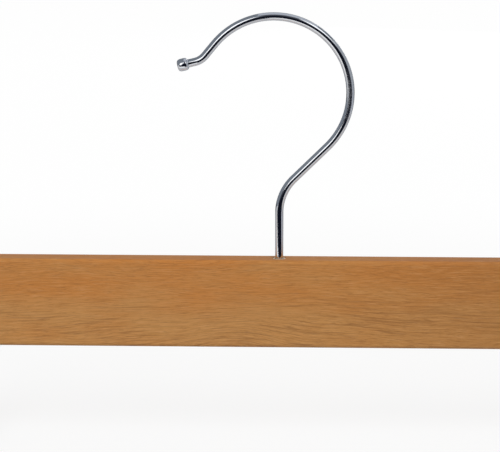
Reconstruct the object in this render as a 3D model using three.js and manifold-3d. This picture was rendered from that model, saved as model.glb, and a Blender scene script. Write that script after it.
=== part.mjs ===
// Wooden clip hanger: a straight bar under a swivelling wire hook, with two sprung clips that slide
// along a steel rail recessed in the bar's underside.
// Millimetres, +Z up, +X along the bar, -Y towards the front. The origin is the point of the hook
// that sits on a wardrobe rail, on the swivel axis.
import * as THREE from "three";
import { mergeVertices } from "three/addons/utils/BufferGeometryUtils.js";
import Module from "manifold-3d";

const wasm = await Module();
wasm.setup();

// Wooden bar
const BAR_LENGTH = 355;
const BAR_HEIGHT = 38.5;
const BAR_THICKNESS = 12;
const BAR_EDGE_RADIUS = 1.8;
const BAR_CORNER_RADIUS = 7;

// Wire hook, from its stem in the bar to its ball tip
const HOOK_WIRE = 3.5;
const HOOK_STEM = 20;
const HOOK_NECK_RADIUS = 20.5;
const HOOK_NECK_ANGLE = 45.5;
const HOOK_NECK_RUN = 20;
const HOOK_ARCH_RADIUS = 32.6;
const HOOK_ARCH_ANGLE = 186;
const HOOK_TIP_RUN = 6.5;
const HOOK_TIP_RADIUS = 8;
const HOOK_TIP_ANGLE = 37;
const HOOK_TIP_LENGTH = 6;
const HOOK_BALL_DIAMETER = 5.4;
const HOOK_BALL_LENGTH = 5;
const HOOK_BALL_CHAMFER = 1;
const HOOK_THREAD_END = 1.5;

// Swivel: a bush in the bar's top, a washer and a nut in a pocket under it
const SWIVEL_CLEARANCE = 0.2;
const SWIVEL_PLAY = 0.3;
const SWIVEL_WEB = 5;
const BUSH_WALL = 0.85;
const BUSH_LENGTH = 14;
const WASHER_DIAMETER = 7.8;
const WASHER_THICKNESS = 0.8;
const NUT_WIDTH = 6;
const NUT_HEIGHT = 2.8;
const POCKET_CLEARANCE = 0.3;

// Clip rail and its groove
const RAIL_DIAMETER = 3.2;
const RAIL_BEND_RADIUS = 4;
const RAIL_LEG_HOLD = 12;
const RAIL_END_WOOD = 13;
const GROOVE_LIP = 1.2;
const GROOVE_CLEARANCE = 0.35;
const SEAT_GAP = 0.15;

// Link that carries a clip on the rail
const LINK_SHEET = 1;
const LINK_WIDTH = 7;
const LINK_CLEARANCE = 0.2;
const LINK_HEADROOM = 2;
const CLIP_INSET = 31.5;

// Clip jaws, stamped from one pattern
const SHEET = 1;
const SHEET_BEND_RADIUS = 1.6;
const JAW_WIDTH = 38;
const JAW_CORNER_RADIUS = 3;
const JAW_THROAT = 11.2;
const JAW_BOW = 1.5;
const JAW_LIP = 1.8;
const NECK_FALL = 3.2;
const SHOULDER_FALL = 5;
const TAB_WIDTH = 22;
const TAB_LENGTH = 13;
const TAB_ANGLE = 39;
const TAB_BEND_RISE = 2.6;
const EAR_GAP = 0.3;
const EAR_CLEARANCE = 0.5;

// Pivot pin, spring and grips
const PIN_DIAMETER = 3;
const PIN_CLEARANCE = 0.15;
const PIN_HEAD_DIAMETER = 4.6;
const PIN_HEAD_LENGTH = 0.9;
const SPRING_WIRE = 1;
const SPRING_PITCH = 1.58;
const SPRING_WHOLE_TURNS = 2;
const SPRING_PIN_GAP = 0.6;
const SPRING_CLEARANCE = 0.4;
const SPRING_LEG_REACH = 9;
const SPRING_BRIDGE_RADIUS = 1.4;
const GRIP_MARGIN = 1.5;
const GRIP_HEIGHT = 9.2;
const GRIP_THICKNESS = 2.9;
const GRIP_RIDGES = 5;
const GRIP_RIDGE_DEPTH = 0.6;
const GRIP_GAP = 0.4;

// Facets of round shapes
const HOOK_SIDES = 12;
const RAIL_SIDES = 12;
const ROUND_SIDES = 24;
const PIN_SIDES = 16;
const SPRING_SIDES = 6;
const SPRING_TURN_STEPS = 12;
const BEND_STEP_ANGLE = 8;

// How far a cutter runs past the face that it opens
const CUT_OVERRUN = 1;

// Heights below the bar's top face, and shared places
const barBottom = -BAR_HEIGHT;
const bushBottom = -BUSH_LENGTH;
const pocketRoof = bushBottom - SWIVEL_WEB;
const washerTop = pocketRoof - SWIVEL_PLAY;
const nutTop = washerTop - WASHER_THICKNESS - SWIVEL_PLAY;
const nutBottom = nutTop - NUT_HEIGHT;
const stemEnd = nutBottom - HOOK_THREAD_END;
const stemBore = HOOK_WIRE / 2 + SWIVEL_CLEARANCE;
const bushRadius = stemBore + BUSH_WALL;
const nutCorner = NUT_WIDTH / 2 / Math.cos(Math.PI / 6);
const pocketRadius = Math.max(WASHER_DIAMETER / 2, nutCorner) + POCKET_CLEARANCE;

const railEye = RAIL_DIAMETER / 2 + LINK_CLEARANCE;
const railEyeOuter = railEye + LINK_SHEET;
const railHeight = barBottom + GROOVE_LIP + railEyeOuter;
const grooveRoof = railHeight + Math.max(railEyeOuter + GROOVE_CLEARANCE, RAIL_BEND_RADIUS);
const grooveWidth = 2 * (railEyeOuter + GROOVE_CLEARANCE);
const railLegX = BAR_LENGTH / 2 - RAIL_END_WOOD;
const railLegTop = grooveRoof + RAIL_LEG_HOLD;

// Places in a clip, from its pin's axis
const coilRadius = PIN_DIAMETER / 2 + SPRING_PIN_GAP + SPRING_WIRE / 2;
const jawStandoff = coilRadius + SPRING_WIRE / 2 + SPRING_CLEARANCE + SHEET / 2;
const earRadius = jawStandoff - SHEET / 2 - EAR_CLEARANCE;
const gripSeat = GRIP_GAP / 2 + GRIP_THICKNESS + SEAT_GAP + SHEET / 2;
const gripBottom = -JAW_THROAT - GRIP_HEIGHT;
const jawBottom = gripBottom - SEAT_GAP - SHEET / 2;
const flare = THREE.MathUtils.degToRad(TAB_ANGLE);
const tabEnd = new THREE.Vector2(
  -jawStandoff - TAB_LENGTH * Math.sin(flare),
  TAB_BEND_RISE + TAB_LENGTH * Math.cos(flare),
);
const clipDrop = tabEnd.length() + SHEET + LINK_HEADROOM;
const pinHeight = barBottom - clipDrop;
const clipX = BAR_LENGTH / 2 - CLIP_INSET;

// The spring's legs leave its coils on tangents to the point where they press on the tabs
const tabAlong = new THREE.Vector2(-Math.sin(flare), Math.cos(flare));
const tabInward = new THREE.Vector2(Math.cos(flare), Math.sin(flare));
const legTip = new THREE.Vector2(-jawStandoff, TAB_BEND_RISE)
  .addScaledVector(tabAlong, SPRING_LEG_REACH)
  .addScaledVector(tabInward, SHEET / 2 + SPRING_CLEARANCE + SPRING_WIRE / 2);
const legAngle = legTip.angle() - Math.acos(coilRadius / legTip.length());
const coilSweep = 2 * legAngle + Math.PI + SPRING_WHOLE_TURNS * 2 * Math.PI;
const coilStart = LINK_WIDTH / 2 + EAR_GAP + SPRING_WIRE / 2;
const coilEnd = coilStart + (SPRING_PITCH * coilSweep) / (2 * Math.PI);
const earInner = coilEnd + SPRING_WIRE / 2 + EAR_GAP;
const earOuter = earInner + SHEET + EAR_GAP;
const pinHeadX = earOuter + SHEET + EAR_GAP;

// Finishes
const finish = (color, roughness, metalness) =>
  new THREE.MeshStandardMaterial({ color, roughness, metalness });
const WOOD = finish(0xb87c45, 0.45, 0);
const CHROME = finish(0xd6dae0, 0.08, 1);
const STEEL = finish(0xb9bdc2, 0.28, 1);
const NYLON = finish(0xd9c8ac, 0.5, 0);
const VINYL = finish(0x1d1e20, 0.55, 0);

// Solids: a closed geometry as a manifold, and back
function solid(geometry) {
  const bare = new THREE.BufferGeometry();
  bare.setAttribute("position", geometry.getAttribute("position"));
  bare.setIndex(geometry.getIndex());
  const merged = mergeVertices(bare, 1e-4);
  return new wasm.Manifold(
    new wasm.Mesh({
      numProp: 3,
      vertProperties: merged.getAttribute("position").array,
      triVerts: new Uint32Array(merged.getIndex().array),
    }),
  );
}

function geometry(manifold) {
  const mesh = manifold.getMesh();
  const made = new THREE.BufferGeometry();
  made.setAttribute("position", new THREE.BufferAttribute(mesh.vertProperties, 3));
  made.setIndex(new THREE.BufferAttribute(mesh.triVerts, 1));
  return made;
}

// Turns a shape drawn in XY and extruded along Z so that it is drawn across another axis
const AXIS = {
  x: [new THREE.Vector3(0, 1, 0), new THREE.Vector3(0, 0, 1), new THREE.Vector3(1, 0, 0)],
  y: [new THREE.Vector3(1, 0, 0), new THREE.Vector3(0, 0, 1), new THREE.Vector3(0, -1, 0)],
};

function prism(shape, from, to) {
  const depth = to - from;
  const made = new THREE.ExtrudeGeometry(shape, { depth, bevelEnabled: false, curveSegments: 5 });
  return made.translate(0, 0, from);
}

function prismAcross(axis, shape, from, to) {
  const turn = new THREE.Matrix4().makeBasis(...AXIS[axis]);
  return prism(shape, from, to).applyMatrix4(turn);
}

// Round bar along Z or X
function rodZ(radius, from, to, sides = ROUND_SIDES) {
  const made = new THREE.CylinderGeometry(radius, radius, to - from, sides);
  return made.rotateX(Math.PI / 2).translate(0, 0, (from + to) / 2);
}

function rodX(radius, from, to, sides = PIN_SIDES) {
  const made = new THREE.CylinderGeometry(radius, radius, to - from, sides);
  return made.rotateZ(-Math.PI / 2).translate((from + to) / 2, 0, 0);
}

function ring(outer, inner, from, to) {
  const bore = rodZ(inner, from - CUT_OVERRUN, to + CUT_OVERRUN);
  return geometry(solid(rodZ(outer, from, to)).subtract(solid(bore)));
}

// An outline with its corners rounded
function roundedShape(corners, radius) {
  const shape = new THREE.Shape();
  corners.forEach((corner, i) => {
    const before = corners.at(i - 1);
    const after = corners[(i + 1) % corners.length];
    const reach = Math.min(radius, corner.distanceTo(before) / 2, corner.distanceTo(after) / 2);
    const start = corner.clone().lerp(before, reach / corner.distanceTo(before));
    const end = corner.clone().lerp(after, reach / corner.distanceTo(after));
    if (i === 0) shape.moveTo(start.x, start.y);
    else shape.lineTo(start.x, start.y);
    shape.quadraticCurveTo(corner.x, corner.y, end.x, end.y);
  });
  shape.closePath();
  return shape;
}

const points = (...pairs) => pairs.map(([x, y]) => new THREE.Vector2(x, y));
const mirrored = (right) => [...right, ...right.map((p) => new THREE.Vector2(-p.x, p.y)).reverse()];

// A wire's route: points and directions, one for each ring of its tube
class Route extends THREE.Curve {
  constructor(stations, directions) {
    super();
    this.stations = stations;
    this.directions = directions;
  }
  pick(list, u) {
    const place = u * (list.length - 1);
    const low = Math.min(Math.floor(place + 1e-6), list.length - 2);
    return list[low].clone().lerp(list[low + 1], place - low);
  }
  getPoint(u) {
    return this.pick(this.stations, u);
  }
  getPointAt(u) {
    return this.getPoint(u);
  }
  getTangentAt(u) {
    return this.pick(this.directions, u).normalize();
  }
}

// Draws a flat route of straight runs and bends; heading and turns in degrees, turns to the left positive
class FlatRoute {
  constructor(start, heading) {
    this.at = start.clone();
    this.heading = THREE.MathUtils.degToRad(heading);
    this.stations = [];
    this.directions = [];
    this.mark();
  }
  forward() {
    return new THREE.Vector2(Math.cos(this.heading), Math.sin(this.heading));
  }
  mark() {
    const ahead = this.forward();
    this.stations.push(new THREE.Vector3(this.at.x, 0, this.at.y));
    this.directions.push(new THREE.Vector3(ahead.x, 0, ahead.y));
  }
  run(length) {
    this.at.addScaledVector(this.forward(), length);
    this.mark();
    return this;
  }
  centre(radius, turn) {
    const left = this.forward().rotateAround(new THREE.Vector2(), (Math.sign(turn) * Math.PI) / 2);
    return this.at.clone().addScaledVector(left, radius);
  }
  bend(radius, turn) {
    const middle = this.centre(radius, turn);
    const steps = Math.ceil(Math.abs(turn) / BEND_STEP_ANGLE);
    const step = THREE.MathUtils.degToRad(turn) / steps;
    for (let i = 0; i < steps; i += 1) {
      this.at.rotateAround(middle, step);
      this.heading += step;
      this.mark();
    }
    return this;
  }
  route() {
    return new Route(this.stations, this.directions);
  }
}

// A solid tube along a route
function tube(route, diameter, sides) {
  const corner = (i) => (i * 2 * Math.PI) / sides;
  const section = Array.from({ length: sides }, (_, i) =>
    new THREE.Vector2(Math.cos(corner(i)), Math.sin(corner(i))).multiplyScalar(diameter / 2),
  );
  const steps = route.stations.length - 1;
  return new THREE.ExtrudeGeometry(new THREE.Shape(section), { steps, extrudePath: route });
}

// Hook: its route, the arch's centre and the ball at its end
function hookRoute() {
  const path = new FlatRoute(new THREE.Vector2(0, stemEnd), 90);
  path.run(HOOK_STEM - stemEnd).bend(HOOK_NECK_RADIUS, -HOOK_NECK_ANGLE).run(HOOK_NECK_RUN);
  const archCentre = path.centre(HOOK_ARCH_RADIUS, 1);
  path.bend(HOOK_ARCH_RADIUS, HOOK_ARCH_ANGLE).run(HOOK_TIP_RUN);
  path.bend(HOOK_TIP_RADIUS, -HOOK_TIP_ANGLE).run(HOOK_TIP_LENGTH);
  return { path, archCentre };
}

function hookBall(path) {
  const radius = HOOK_BALL_DIAMETER / 2;
  const crown = radius - HOOK_BALL_CHAMFER;
  const half = HOOK_BALL_LENGTH / 2;
  const waist = half - HOOK_BALL_CHAMFER;
  const outline = points(
    [0, -half],
    [crown, -half],
    [radius, -waist],
    [radius, waist],
    [crown, half],
    [0, half],
  );
  const ball = new THREE.LatheGeometry(outline, HOOK_SIDES);
  const up = new THREE.Vector3(0, 1, 0);
  const ahead = path.directions.at(-1).clone().normalize();
  ball.applyQuaternion(new THREE.Quaternion().setFromUnitVectors(up, ahead));
  const end = path.stations.at(-1);
  return ball.translate(end.x, end.y, end.z);
}

const { path: hookPath, archCentre } = hookRoute();
const archInner = HOOK_ARCH_RADIUS - HOOK_WIRE / 2;
const seatHeight = archCentre.y + Math.sqrt(archInner ** 2 - archCentre.x ** 2);

function hook() {
  const wire = solid(tube(hookPath.route(), HOOK_WIRE, HOOK_SIDES));
  return geometry(wire.add(solid(hookBall(hookPath))));
}

function nut() {
  const bore = rodZ(HOOK_WIRE / 2 + SEAT_GAP, nutBottom - CUT_OVERRUN, nutTop + CUT_OVERRUN);
  return geometry(solid(rodZ(nutCorner, nutBottom, nutTop, 6)).subtract(solid(bore)));
}

// Bar: a rounded board, cut for the swivel, the groove and the rail's legs
function board() {
  const inset = BAR_EDGE_RADIUS;
  const right = BAR_LENGTH / 2 - inset;
  const shape = roundedShape(
    points([right, barBottom + inset], [right, -inset], [-right, -inset], [-right, barBottom + inset]),
    BAR_CORNER_RADIUS - inset,
  );
  const depth = BAR_THICKNESS - 2 * inset;
  const made = new THREE.ExtrudeGeometry(shape, {
    depth,
    bevelThickness: inset,
    bevelSize: inset,
    bevelSegments: 3,
    curveSegments: 5,
  });
  const turn = new THREE.Matrix4().makeBasis(...AXIS.y);
  return made.translate(0, 0, -depth / 2).applyMatrix4(turn);
}

function groove() {
  const half = grooveWidth / 2;
  const shape = new THREE.Shape();
  shape.absarc(railLegX, 0, half, -Math.PI / 2, Math.PI / 2);
  shape.absarc(-railLegX, 0, half, Math.PI / 2, (3 * Math.PI) / 2);
  return prism(shape, barBottom - CUT_OVERRUN, grooveRoof);
}

function bar() {
  const legBottom = grooveRoof - CUT_OVERRUN;
  const legHole = rodZ(RAIL_DIAMETER / 2 + SEAT_GAP, legBottom, railLegTop + SEAT_GAP);
  const cuts = [
    rodZ(bushRadius + SEAT_GAP, bushBottom - SEAT_GAP, CUT_OVERRUN),
    rodZ(stemBore, pocketRoof - CUT_OVERRUN, bushBottom),
    rodZ(pocketRadius, barBottom - CUT_OVERRUN, pocketRoof),
    groove(),
    legHole.clone().translate(railLegX, 0, 0),
    legHole.clone().translate(-railLegX, 0, 0),
  ];
  return geometry(cuts.reduce((left, cut) => left.subtract(solid(cut)), solid(board())));
}

function rail() {
  const legRun = railLegTop - railHeight - RAIL_BEND_RADIUS;
  const path = new FlatRoute(new THREE.Vector2(-railLegX, railLegTop), -90);
  path.run(legRun).bend(RAIL_BEND_RADIUS, 90).run(2 * (railLegX - RAIL_BEND_RADIUS));
  path.bend(RAIL_BEND_RADIUS, 90).run(legRun);
  return tube(path.route(), RAIL_DIAMETER, RAIL_SIDES);
}

// Clip link: a strip rolled into an eye on the rail and an eye on the pin; its origin is the pin's axis
function link() {
  const half = LINK_WIDTH / 2;
  const railUp = railHeight - pinHeight;
  const pinEye = PIN_DIAMETER / 2 + LINK_CLEARANCE;
  const web = new THREE.BoxGeometry(LINK_WIDTH, LINK_SHEET, railUp).translate(0, 0, railUp / 2);
  const eyes = solid(web)
    .add(solid(rodX(railEyeOuter, -half, half, ROUND_SIDES).translate(0, 0, railUp)))
    .add(solid(rodX(pinEye + LINK_SHEET, -half, half, ROUND_SIDES)));
  const past = half + CUT_OVERRUN;
  const railBore = rodX(railEye, -past, past, ROUND_SIDES).translate(0, 0, railUp);
  const pinBore = rodX(pinEye, -past, past, ROUND_SIDES);
  return geometry(eyes.subtract(solid(railBore)).subtract(solid(pinBore)));
}

function pin() {
  const shaft = solid(rodX(PIN_DIAMETER / 2, -pinHeadX, pinHeadX));
  const head = new THREE.CylinderGeometry(
    PIN_DIAMETER / 2,
    PIN_HEAD_DIAMETER / 2,
    PIN_HEAD_LENGTH,
    PIN_SIDES,
  );
  const right = head.clone().rotateZ(-Math.PI / 2).translate(pinHeadX + PIN_HEAD_LENGTH / 2, 0, 0);
  const left = head.clone().rotateZ(Math.PI / 2).translate(-pinHeadX - PIN_HEAD_LENGTH / 2, 0, 0);
  return geometry(shaft.add(solid(right)).add(solid(left)));
}

// Front jaw, drawn in the YZ plane round the pin: thumb tab, neck, bowed throat, grip seat and lip
function jawSpine() {
  const bowHeight = -(NECK_FALL + JAW_THROAT) / 2;
  return [
    tabEnd,
    ...points(
      [-jawStandoff, TAB_BEND_RISE],
      [-jawStandoff, -NECK_FALL],
      [-jawStandoff - JAW_BOW, bowHeight],
      [-gripSeat, -JAW_THROAT],
      [-gripSeat, jawBottom],
      [-gripSeat + JAW_LIP, jawBottom],
    ),
  ];
}

// The spine with each bend rounded, as points
function roundedSpine(spine) {
  const soft = [spine[0]];
  spine.slice(1, -1).forEach((corner, i) => {
    const before = spine[i];
    const after = spine[i + 2];
    const reach = Math.min(SHEET_BEND_RADIUS, corner.distanceTo(before) / 2, corner.distanceTo(after) / 2);
    const start = corner.clone().lerp(before, reach / corner.distanceTo(before));
    const end = corner.clone().lerp(after, reach / corner.distanceTo(after));
    soft.push(...new THREE.QuadraticBezierCurve(start, corner, end).getPoints(4));
  });
  return [...soft, spine.at(-1)];
}

// A strip of sheet along a spine, as a closed outline
function strip(spine, thickness) {
  const sideways = spine.map((_, i) => {
    const before = spine[Math.max(i - 1, 0)];
    const after = spine[Math.min(i + 1, spine.length - 1)];
    const along = after.clone().sub(before).normalize();
    return new THREE.Vector2(-along.y, along.x).multiplyScalar(thickness / 2);
  });
  const leftSide = spine.map((p, i) => p.clone().add(sideways[i]));
  const rightSide = spine.map((p, i) => p.clone().sub(sideways[i]));
  return new THREE.Shape([...leftSide, ...rightSide.reverse()]);
}

function jawOutline() {
  const neck = earOuter + SHEET;
  const top = tabEnd.y + SHEET;
  const right = points(
    [JAW_WIDTH / 2, jawBottom - SHEET],
    [JAW_WIDTH / 2, -JAW_THROAT],
    [neck, -SHOULDER_FALL],
    [neck, earRadius],
    [TAB_WIDTH / 2, earRadius + TAB_BEND_RISE],
    [TAB_WIDTH / 2, top],
  );
  return roundedShape(mirrored(right), JAW_CORNER_RADIUS);
}

// A jaw's ear: a plate from the neck round the pin
function ear(from) {
  const shape = new THREE.Shape();
  shape.moveTo(-jawStandoff, -earRadius);
  shape.lineTo(0, -earRadius);
  shape.absarc(0, 0, earRadius, -Math.PI / 2, Math.PI / 2);
  shape.lineTo(-jawStandoff, earRadius);
  return solid(prismAcross("x", shape, from, from + SHEET));
}

function jaw() {
  const half = JAW_WIDTH / 2;
  const depth = jawStandoff + TAB_LENGTH + SHEET;
  const blank = solid(prismAcross("x", strip(roundedSpine(jawSpine()), SHEET), -half, half));
  const outline = solid(prismAcross("y", jawOutline(), -depth, depth));
  const pinHole = rodX(PIN_DIAMETER / 2 + PIN_CLEARANCE, -half, half);
  const formed = blank.intersect(outline).add(ear(earOuter)).add(ear(-earInner - SHEET));
  return geometry(formed.subtract(solid(pinHole)));
}

// Grip: a strip with ridges across its gripping face
function grip() {
  const back = -GRIP_GAP / 2 - GRIP_THICKNESS;
  const crest = -GRIP_GAP / 2;
  const root = crest - GRIP_RIDGE_DEPTH;
  const pitch = GRIP_HEIGHT / GRIP_RIDGES;
  const outline = points([back, gripBottom]);
  for (let i = 0; i < GRIP_RIDGES; i += 1) {
    const foot = gripBottom + i * pitch;
    outline.push(...points([root, foot], [crest, foot + pitch / 4], [crest, foot + (pitch * 3) / 4]));
  }
  outline.push(...points([root, -JAW_THROAT], [back, -JAW_THROAT]));
  const half = JAW_WIDTH / 2 - GRIP_MARGIN;
  return prismAcross("x", new THREE.Shape(outline), -half, half);
}

// A point of the spring's coil
function onCoil(x, angle) {
  return new THREE.Vector3(x, coilRadius * Math.cos(angle), coilRadius * Math.sin(angle));
}

// Double torsion spring: one wire with a coil on each side of the link, a bridge that presses on the
// front tab and two legs that press on the back tab. This is its right half, from the bridge's middle
function springHalf() {
  const steps = Math.ceil((coilSweep / (2 * Math.PI)) * SPRING_TURN_STEPS);
  const bridge = Math.min(SPRING_BRIDGE_RADIUS, coilStart);
  const bent = new THREE.Vector3(coilStart, legTip.x, legTip.y);
  const coilTop = onCoil(coilStart, legAngle);
  const legBack = bent.clone().lerp(coilTop, bridge / bent.distanceTo(coilTop));
  const across = bent.clone().setX(coilStart - bridge);
  const half = new THREE.QuadraticBezierCurve3(across, bent, legBack).getPoints(4);
  for (let i = 0; i <= steps; i += 1) {
    const share = i / steps;
    half.push(onCoil(coilStart + share * (coilEnd - coilStart), legAngle - share * coilSweep));
  }
  half.push(new THREE.Vector3(coilEnd, -legTip.x, legTip.y));
  return half;
}

// Least clear distance between stretches of a wire that aren't neighbours along it
function leastGap(stations, diameter, apart) {
  let least = Infinity;
  stations.forEach((p, i) => {
    stations.slice(i + apart).forEach((q) => {
      least = Math.min(least, p.distanceTo(q) - diameter);
    });
  });
  return least;
}

function springStations() {
  const right = springHalf();
  const left = right.map((p) => new THREE.Vector3(-p.x, p.y, p.z)).reverse();
  return [...left, ...right];
}

function spring() {
  const stations = springStations();
  const directions = stations.map((_, i) => {
    const before = stations[Math.max(i - 1, 0)];
    const after = stations[Math.min(i + 1, stations.length - 1)];
    return after.clone().sub(before).normalize();
  });
  return tube(new Route(stations, directions), SPRING_WIRE, SPRING_SIDES);
}

const turnGap = leastGap(springStations(), SPRING_WIRE, SPRING_TURN_STEPS - 3);
console.log(`least gap between the spring's turns: ${turnGap.toFixed(2)} mm`);

// Assembly
function piece(name, shape, material) {
  const made = new THREE.Mesh(shape, material);
  made.name = name;
  return made;
}

function swivel() {
  const group = new THREE.Group();
  const washerBottom = washerTop - WASHER_THICKNESS;
  group.add(piece("hook", hook(), CHROME));
  group.add(piece("swivel_washer", ring(WASHER_DIAMETER / 2, stemBore, washerBottom, washerTop), STEEL));
  group.add(piece("swivel_nut", nut(), STEEL));
  return group;
}

function barGroup() {
  const group = new THREE.Group();
  group.add(piece("wood_bar", bar(), WOOD));
  group.add(piece("swivel_bush", ring(bushRadius, stemBore, bushBottom, 0), NYLON));
  group.add(piece("clip_rail", rail(), STEEL));
  return group;
}

function jawGroup(side, face, turn) {
  const group = new THREE.Group();
  group.add(piece(`${side}_${face}_jaw`, jaw(), STEEL));
  group.add(piece(`${side}_${face}_grip`, grip(), VINYL));
  group.rotation.z = turn;
  return group;
}

function clip(side, x) {
  const group = new THREE.Group();
  group.add(piece(`${side}_clip_link`, link(), STEEL));
  group.add(piece(`${side}_clip_pin`, pin(), STEEL));
  group.add(piece(`${side}_clip_spring`, spring(), STEEL));
  group.add(jawGroup(side, "front", 0));
  group.add(jawGroup(side, "back", Math.PI));
  group.position.set(x, 0, pinHeight);
  return group;
}

const frame = new THREE.Group();
frame.add(swivel(), barGroup(), clip("left", -clipX), clip("right", clipX));
frame.position.z = -seatHeight;

const hanger = new THREE.Group();
hanger.add(frame);

export default hanger;
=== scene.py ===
"""Wooden clip hanger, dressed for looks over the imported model.

Metres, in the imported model's frame: +X along the bar, -Y to the front, +Z up. The origin is the point of
the hook that sits on a wardrobe rail.
"""
import math

import bmesh
import bpy
from mathutils import Matrix, Vector


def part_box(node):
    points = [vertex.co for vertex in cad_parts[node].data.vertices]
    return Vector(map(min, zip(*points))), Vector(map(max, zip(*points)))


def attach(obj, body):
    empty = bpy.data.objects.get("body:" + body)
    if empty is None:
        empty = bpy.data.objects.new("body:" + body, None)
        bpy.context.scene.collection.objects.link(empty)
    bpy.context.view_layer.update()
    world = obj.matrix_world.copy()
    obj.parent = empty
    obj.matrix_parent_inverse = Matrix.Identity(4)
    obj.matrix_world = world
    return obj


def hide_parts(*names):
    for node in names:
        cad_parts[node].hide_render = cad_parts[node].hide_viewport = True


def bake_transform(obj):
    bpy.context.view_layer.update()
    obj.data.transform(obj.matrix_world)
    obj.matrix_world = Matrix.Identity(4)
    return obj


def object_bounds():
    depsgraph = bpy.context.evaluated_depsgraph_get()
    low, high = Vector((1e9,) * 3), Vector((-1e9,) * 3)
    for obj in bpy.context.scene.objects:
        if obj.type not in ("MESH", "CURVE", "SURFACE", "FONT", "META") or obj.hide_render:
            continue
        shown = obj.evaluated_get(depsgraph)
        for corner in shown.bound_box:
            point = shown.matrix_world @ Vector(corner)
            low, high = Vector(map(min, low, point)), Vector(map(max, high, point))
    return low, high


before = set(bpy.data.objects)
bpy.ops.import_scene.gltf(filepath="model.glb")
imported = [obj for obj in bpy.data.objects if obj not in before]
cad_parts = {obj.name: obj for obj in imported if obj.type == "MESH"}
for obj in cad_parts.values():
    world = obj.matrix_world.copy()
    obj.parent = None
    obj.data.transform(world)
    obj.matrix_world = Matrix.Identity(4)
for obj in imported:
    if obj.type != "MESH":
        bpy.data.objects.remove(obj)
cad_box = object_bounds()

MM = 0.001
UP = Vector((0, 0, 1))
BACK = Vector((0, 1, 0))
RIGHT = Vector((1, 0, 0))
ORIGIN = Vector((0, 0, 0))

# Doubles closer than WELD are merged, places closer than NEAR are the same, and cutters run PAST a face
WELD = 0.001 * MM
NEAR = 0.01 * MM
PAST = 1 * MM

# Bar
BAR_CORNER = 7 * MM
BAR_EDGE = 1.8 * MM
GROOVE_WIDTH = 6.3 * MM
GROOVE_DEPTH = 8 * MM
GROOVE_FLARE = 0.5 * MM
STEM_BORE = 1.95 * MM
POCKET_RADIUS = 4.2 * MM
POCKET_ROOF = 19 * MM
SEAT_GAP = 0.15 * MM

# Hook, bent in this order from the stem to the tip, with angles in degrees
HOOK_WIRE = 3.5 * MM
HOOK_STEM = 20 * MM
HOOK_NECK_RADIUS = 20.5 * MM
HOOK_NECK_ANGLE = 45.5
HOOK_NECK_RUN = 20 * MM
HOOK_ARCH_RADIUS = 32.6 * MM
HOOK_ARCH_ANGLE = 186
HOOK_TIP_RUN = 6.5 * MM
HOOK_TIP_RADIUS = 8 * MM
HOOK_TIP_ANGLE = 37
HOOK_TIP_LENGTH = 5.5 * MM
THREAD_PITCH = 0.7 * MM
THREAD_DEPTH = 0.22 * MM
THREAD_TURNS = 7

# Ball at the hook's tip: millimetres along the wire from its middle, and the radius there
BALL_PROFILE = (
    (-2.9, 1.75), (-2.6, 1.82), (-2.42, 2.0), (-2.3, 2.25), (-2.05, 2.5), (-1.65, 2.64), (-1.1, 2.7),
    (0.2, 2.7), (0.9, 2.63), (1.45, 2.42), (1.8, 2.1), (2.0, 1.6), (2.08, 0.9), (2.1, 0.3))

# Swivel
BUSH_LIP = 0.3 * MM
WASHER_EDGE = 0.15 * MM
NUT_CHAMFER = 0.35 * MM

# Rail and link
RAIL_RADIUS = 1.6 * MM
RAIL_BEND = 4 * MM
RAIL_TIP = 0.3 * MM
LINK_SHEET = 1 * MM
LINK_WIDTH = 7 * MM
RAIL_EYE = 2.3 * MM
PIN_EYE = 2.2 * MM

# Rolled eye for a radius of 1: its free end, its arc in degrees and its way to the strip below
EYE_END = (-0.45, -1.28)
EYE_ARC = (232, -50)
EYE_NECK = ((0.25, -1.22), (0, -1.85))

# Clip, from its pin's axis
CLIP_SMOOTH = 40
PLATE_EDGE = 0.12 * MM
SHEET = 1 * MM
JAW_EDGE = 0.2 * MM
JAW_HALF = 19 * MM
NECK_HALF = 11.79 * MM
TAB_HALF = 11 * MM
TAB_TAPER = 3 * MM
JAW_STANDOFF = 4 * MM
JAW_SEAT = 3.75 * MM
JAW_BOTTOM = -21.05 * MM
JAW_THROAT = -11.2 * MM
JAW_CROWN = 48 * MM
JAW_LIP = 1.8 * MM
LIP_CORNER = 2.5 * MM
LIP_INSET = 1.2 * MM
LIP_LEAN = 0.6
THROAT_BULGE = 1.5 * MM
PANEL_MIDDLE = -16 * MM
PANEL_HALF = (14.4 * MM, 2.2 * MM)
PANEL_RISE = 0.45 * MM
PANEL_WALL = 1.2 * MM
NECK_BOTTOM = -3.2 * MM
SHOULDER = -5 * MM
TAB_FOOT = 2.6 * MM
TAB_TIP = (-12.18 * MM, 12.70 * MM)
JAW_FOLD = 1.6 * MM
JAW_ROW = 0.55 * MM
JAW_COLUMNS = 40
CORNER_ROWS = 6
CORNER_STEPS = 8

# Ribs on the tab: their first rows from its tip, the rows and the half length of each, how squarely their
# faces look to their side, and the inset and rise of each wall
RIB_ROWS = (5, 10, 15)
RIB_SPAN = 2
RIB_HALF = 7.15 * MM
RIB_FACING = 0.5
RIB_WALLS = ((0.15 * MM, 0.22 * MM), (0.15 * MM, 0.13 * MM), (0.12 * MM, 0.05 * MM))
RIB_HOLLOWS = ((0.2 * MM, -0.2 * MM), (0.2 * MM, -0.1 * MM))

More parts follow.
